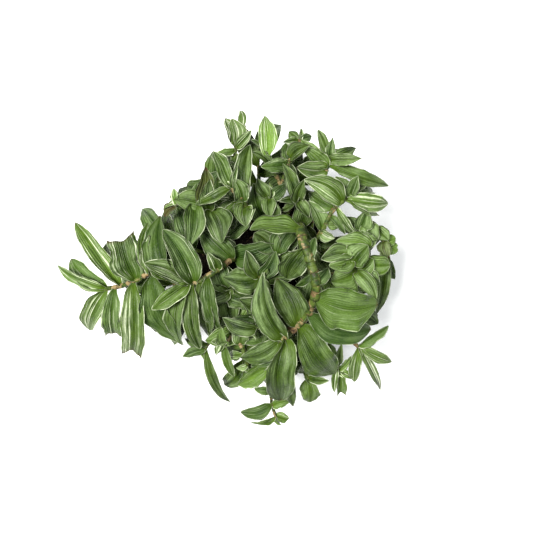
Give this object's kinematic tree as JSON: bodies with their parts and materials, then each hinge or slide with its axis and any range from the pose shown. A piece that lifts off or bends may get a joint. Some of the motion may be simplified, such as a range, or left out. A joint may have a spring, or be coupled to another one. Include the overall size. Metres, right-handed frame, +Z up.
{
  "type": "potted tradescantia",
  "caption": "Bushy tradescantia with striped, pointed leaves on jointed stems that trail over the rim of a plain round nursery pot.",
  "frame": {"origin": "the middle of the pot's flat bottom, on the surface that it stands on", "axes": "+Z up along the pot's axis; the longest runner trails towards -X, and the tall arching stem hangs towards -Y"},
  "size_m": [0.3522, 0.3247, 0.1902],
  "materials": {
    "pot": "matte, moulded",
    "soil": "loose, crumbly",
    "foliage": "satin"
  },
  "bodies": {
    "root": {"pot": "pot", "soil": "soil", "shoot_crown": "foliage", "shoot_left_runner": "foliage", "shoot_upper_left": "foliage", "shoot_left_upper": "foliage", "shoot_top_left": "foliage", "shoot_top": "foliage", "shoot_top_mid": "foliage", "shoot_mid_sprig": "foliage", "shoot_top_right": "foliage", "shoot_right_upper": "foliage", "shoot_right_mid": "foliage", "shoot_far_right": "foliage", "shoot_centre": "foliage", "shoot_heart": "foliage", "shoot_heart_left": "foliage", "shoot_centre_front": "foliage", "shoot_front_left": "foliage", "shoot_left_front": "foliage", "shoot_front_trail": "foliage", "shoot_front_right": "foliage", "shoot_right_bottom": "foliage", "shoot_right_low": "foliage", "shoot_rim_1": "foliage", "shoot_rim_2": "foliage", "shoot_rim_3": "foliage", "shoot_rim_4": "foliage", "shoot_rim_5": "foliage", "shoot_rim_6": "foliage", "shoot_rim_7": "foliage", "shoot_rim_8": "foliage", "shoot_rim_9": "foliage", "shoot_rim_10": "foliage", "shoot_rim_11": "foliage"}
  },
  "joints": []
}
